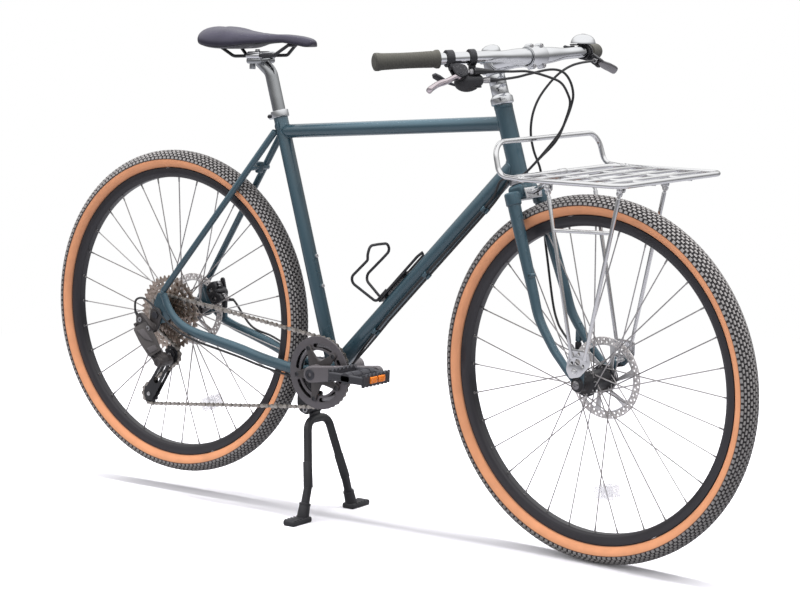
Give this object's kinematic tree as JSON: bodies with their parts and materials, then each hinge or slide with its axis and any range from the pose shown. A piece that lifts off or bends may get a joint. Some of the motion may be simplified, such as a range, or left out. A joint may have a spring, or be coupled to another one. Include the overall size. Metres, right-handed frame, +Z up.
{
  "type": "hybrid bicycle",
  "caption": "Hybrid city bicycle with diamond frame, disc brakes, wide cassette, front rack, bottle cage, bell and double-leg stand.",
  "frame": {"origin": "on the ground under the middle of the bike, between the outermost points of its wheels", "axes": "+X forward, +Y to the rider's left, +Z up from the ground"},
  "size_m": [1.7796, 0.7013, 1.0216],
  "materials": {
    "painted_steel": "teal-grey gloss paint",
    "polished_silver": "polished",
    "stainless_wire": "polished",
    "bronze_steel": "nickel plated",
    "black_metal": "satin black",
    "grey_metal": "dark grey satin",
    "black_plastic": "fine grain",
    "saddle_cover": "smooth cover over foam",
    "grip_rubber": "olive grey",
    "tyre_rubber": "knobby tread, tan side band",
    "housing_black": "smooth",
    "rim_black": "satin black"
  },
  "bodies": {
    "frame_body": {"frame": "painted_steel", "headset_cup_upper": "polished_silver", "headset_cup_lower": "polished_silver", "seat_collar": "polished_silver", "bottle_cage": "black_metal", "bottom_bracket": "black_metal", "kickstand_bracket": "black_metal", "rear_axle": "black_metal", "rear_caliper": "black_metal", "shift_housing": "housing_black", "rear_brake_housing": "housing_black", "mech_bracket": "grey_metal", "chain": "bronze_steel"},
    "seat_body": {"seatpost": "polished_silver", "saddle_clamp": "black_metal", "saddle_rails": "black_metal", "saddle": "saddle_cover"},
    "stand_body": {"kickstand_legs": "black_metal", "kickstand_foot_right": "black_plastic", "kickstand_foot_left": "black_plastic"},
    "steering_body": {"fork": "painted_steel", "headset_spacers": "polished_silver", "stem": "polished_silver", "top_cap": "polished_silver", "handlebar": "polished_silver", "grip_right": "grip_rubber", "grip_left": "grip_rubber", "lever_mount_right": "black_metal", "lever_mount_left": "black_metal", "shifter": "black_plastic", "bell": "polished_silver", "rack_deck": "stainless_wire", "rack_strut_right": "stainless_wire", "rack_strut_left": "stainless_wire", "front_caliper": "black_metal", "front_brake_housing": "housing_black", "front_axle": "black_metal"},
    "right_lever_body": {"brake_lever_right": "polished_silver"},
    "left_lever_body": {"brake_lever_left": "black_metal"},
    "paddle_body": {"shift_paddle": "black_plastic"},
    "striker_body": {"bell_striker": "black_plastic"},
    "front_wheel_body": {"front_tyre": "tyre_rubber", "front_rim": "rim_black", "front_hub": "black_metal", "front_rotor": "polished_silver"},
    "rear_wheel_body": {"rear_tyre": "tyre_rubber", "rear_rim": "rim_black", "rear_hub": "black_metal", "rear_rotor": "polished_silver"},
    "cassette_body": {"cassette": "bronze_steel"},
    "crank_body": {"crank_right": "grey_metal", "crank_left": "grey_metal", "chainring": "grey_metal"},
    "right_pedal_body": {"pedal_right": "black_plastic"},
    "left_pedal_body": {"pedal_left": "black_plastic"},
    "mech_link_body": {"mech_outer_link": "grey_metal"},
    "mech_knuckle_body": {"mech_knuckle": "grey_metal"},
    "mech_cage_body": {"mech_cage": "black_metal"},
    "guide_pulley_body": {"guide_pulley": "black_plastic"},
    "tension_pulley_body": {"tension_pulley": "black_plastic"}
  },
  "joints": [
    {"name": "steering", "type": "hinge", "parent": "frame_body", "child": "steering_body", "pos_m": [0.35543, 0, 0.73489], "axis": [-0.2782, 0, 0.9605], "range_deg": [-40, 50], "deforming": ["shift_housing", "rear_brake_housing"]},
    {"name": "front_wheel_spin", "type": "hinge", "parent": "steering_body", "child": "front_wheel_body", "pos_m": [0.53385, -0.00531, 0.35619], "axis": [0.077, 0.9968, 0.0223], "continuous": true},
    {"name": "rear_wheel_spin", "type": "hinge", "parent": "frame_body", "child": "rear_wheel_body", "pos_m": [-0.53405, 0, 0.40008], "axis": [0, 1, 0], "continuous": true},
    {"name": "crank_spin", "type": "hinge", "parent": "frame_body", "child": "crank_body", "pos_m": [-0.09965, 0, 0.3132], "axis": [0, 1, 0], "continuous": true, "deforming": ["chain"]},
    {"name": "cassette_spin", "type": "hinge", "parent": "frame_body", "child": "cassette_body", "pos_m": [-0.53405, 0, 0.40008], "axis": [0, 1, 0], "continuous": true},
    {"name": "right_pedal_spin", "type": "hinge", "parent": "crank_body", "child": "right_pedal_body", "pos_m": [0.06891, -0.083, 0.33524], "axis": [0, 1, 0], "continuous": true},
    {"name": "left_pedal_spin", "type": "hinge", "parent": "crank_body", "child": "left_pedal_body", "pos_m": [-0.26822, 0.083, 0.29116], "axis": [0, 1, 0], "continuous": true},
    {"name": "mech_swing", "type": "hinge", "parent": "frame_body", "child": "mech_link_body", "pos_m": [-0.5648, -0.086, 0.37032], "axis": [0.6535, 0.573, 0.4945], "range_deg": [-12, 6]},
    {"name": "mech_level", "type": "hinge", "parent": "mech_link_body", "child": "mech_knuckle_body", "pos_m": [-0.52596, -0.084, 0.31668], "axis": [0.6535, 0.573, 0.4945], "range_deg": [-6, 12]},
    {"name": "mech_cage_swing", "type": "hinge", "parent": "mech_knuckle_body", "child": "mech_cage_body", "pos_m": [-0.51159, -0.0585, 0.30108], "axis": [0, 1, 0], "range_deg": [-22, 22]},
    {"name": "guide_pulley_spin", "type": "hinge", "parent": "mech_cage_body", "child": "guide_pulley_body", "pos_m": [-0.51518, -0.046, 0.31124], "axis": [0, 1, 0], "continuous": true},
    {"name": "tension_pulley_spin", "type": "hinge", "parent": "mech_cage_body", "child": "tension_pulley_body", "pos_m": [-0.57854, -0.046, 0.21826], "axis": [0, 1, 0], "continuous": true},
    {"name": "right_brake_pull", "type": "hinge", "parent": "steering_body", "child": "right_lever_body", "pos_m": [0.36254, -0.21877, 0.93547], "axis": [-0.7034, 0.4696, -0.5336], "range_deg": [0, 16], "stiffness_Nm_per_rad": 0.6, "springref_deg": -20.05},
    {"name": "left_brake_pull", "type": "hinge", "parent": "steering_body", "child": "left_lever_body", "pos_m": [0.4046, 0.20996, 0.95486], "axis": [0.5197, 0.2262, 0.8238], "range_deg": [0, 16], "stiffness_Nm_per_rad": 0.6, "springref_deg": -20.05},
    {"name": "shift_press", "type": "hinge", "parent": "steering_body", "child": "paddle_body", "pos_m": [0.35907, -0.17284, 0.91206], "axis": [0.0182, -0.0602, 0.998], "range_deg": [0, 20], "stiffness_Nm_per_rad": 0.2, "springref_deg": -17.19},
    {"name": "bell_flick", "type": "hinge", "parent": "steering_body", "child": "striker_body", "pos_m": [0.35877, 0.18204, 0.98866], "axis": [0.0238, 0.0122, 0.9996], "range_deg": [0, 25], "stiffness_Nm_per_rad": 0.05, "springref_deg": -11.46},
    {"name": "stand_fold", "type": "hinge", "parent": "frame_body", "child": "stand_body", "pos_m": [-0.16043, 0, 0.22462], "axis": [0, 1, 0], "range_deg": [0, 70]},
    {"name": "seat_height", "type": "slide", "parent": "frame_body", "child": "seat_body", "axis": [-0.2647, 0, 0.9643], "range_m": [-0.05, 0.05]}
  ],
  "couplings": [
    {"joint": "cassette_spin", "follows": "crank_spin", "ratio": 1.7143},
    {"joint": "guide_pulley_spin", "follows": "crank_spin", "ratio": -3.2727},
    {"joint": "tension_pulley_spin", "follows": "crank_spin", "ratio": 3.2727},
    {"joint": "mech_level", "follows": "mech_swing", "ratio": -1}
  ]
}
